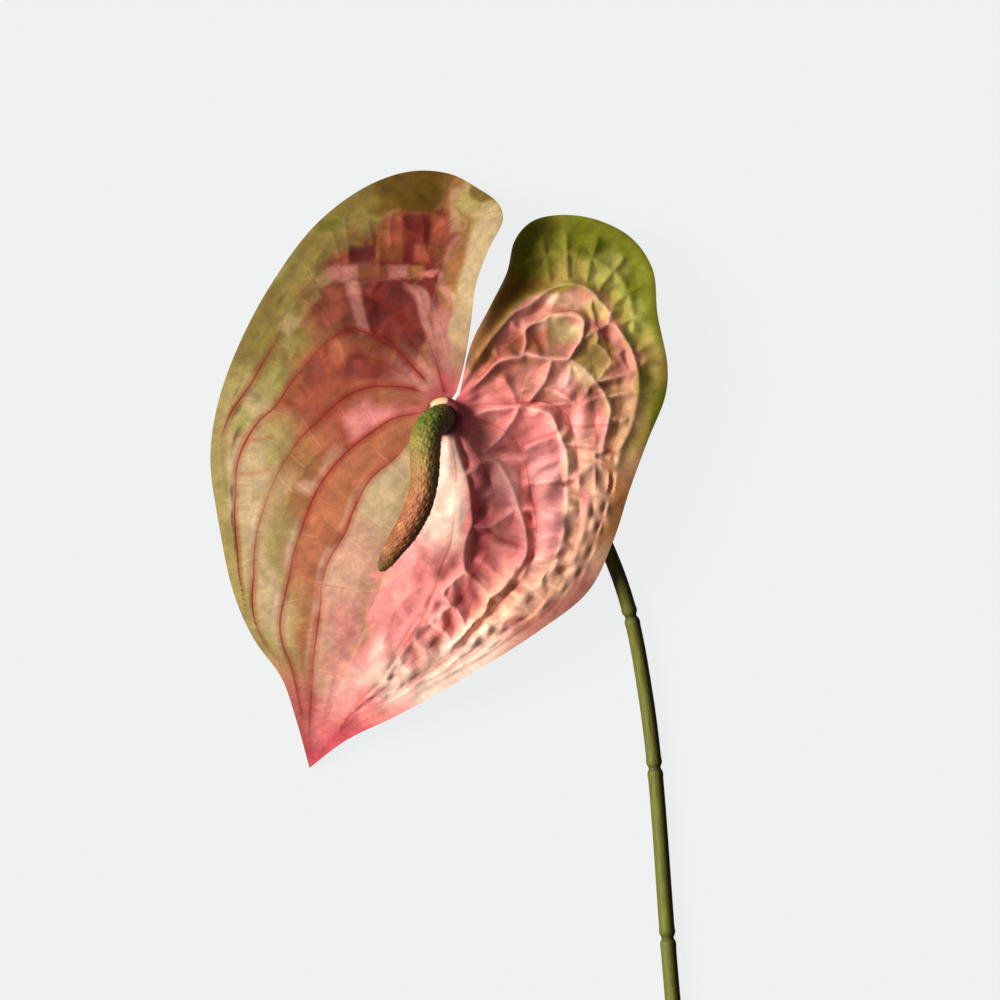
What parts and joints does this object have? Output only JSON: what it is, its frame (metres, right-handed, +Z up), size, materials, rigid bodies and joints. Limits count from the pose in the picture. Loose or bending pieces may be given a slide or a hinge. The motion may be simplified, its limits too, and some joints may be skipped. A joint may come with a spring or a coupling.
{
  "type": "cut anthurium stem",
  "caption": "Large heart-shaped anthurium flower with a puckered spathe and a curved spadix on a long ringed stem, lying on a surface.",
  "frame": {"origin": "on the surface it lies on, under the middle of its outline seen from above", "axes": "+Y along the stem towards the flower, +Z up from the surface, +X to the side that the stem lies on"},
  "size_m": [0.1543, 0.462, 0.0481],
  "materials": {
    "spathe_skin": "satin",
    "spadix_skin": "matte",
    "collar_skin": "matte",
    "stem_skin": "satin"
  },
  "bodies": {
    "root": {"spathe": "spathe_skin", "spadix": "spadix_skin", "spadix_collar": "collar_skin", "stem": "stem_skin"}
  },
  "joints": []
}
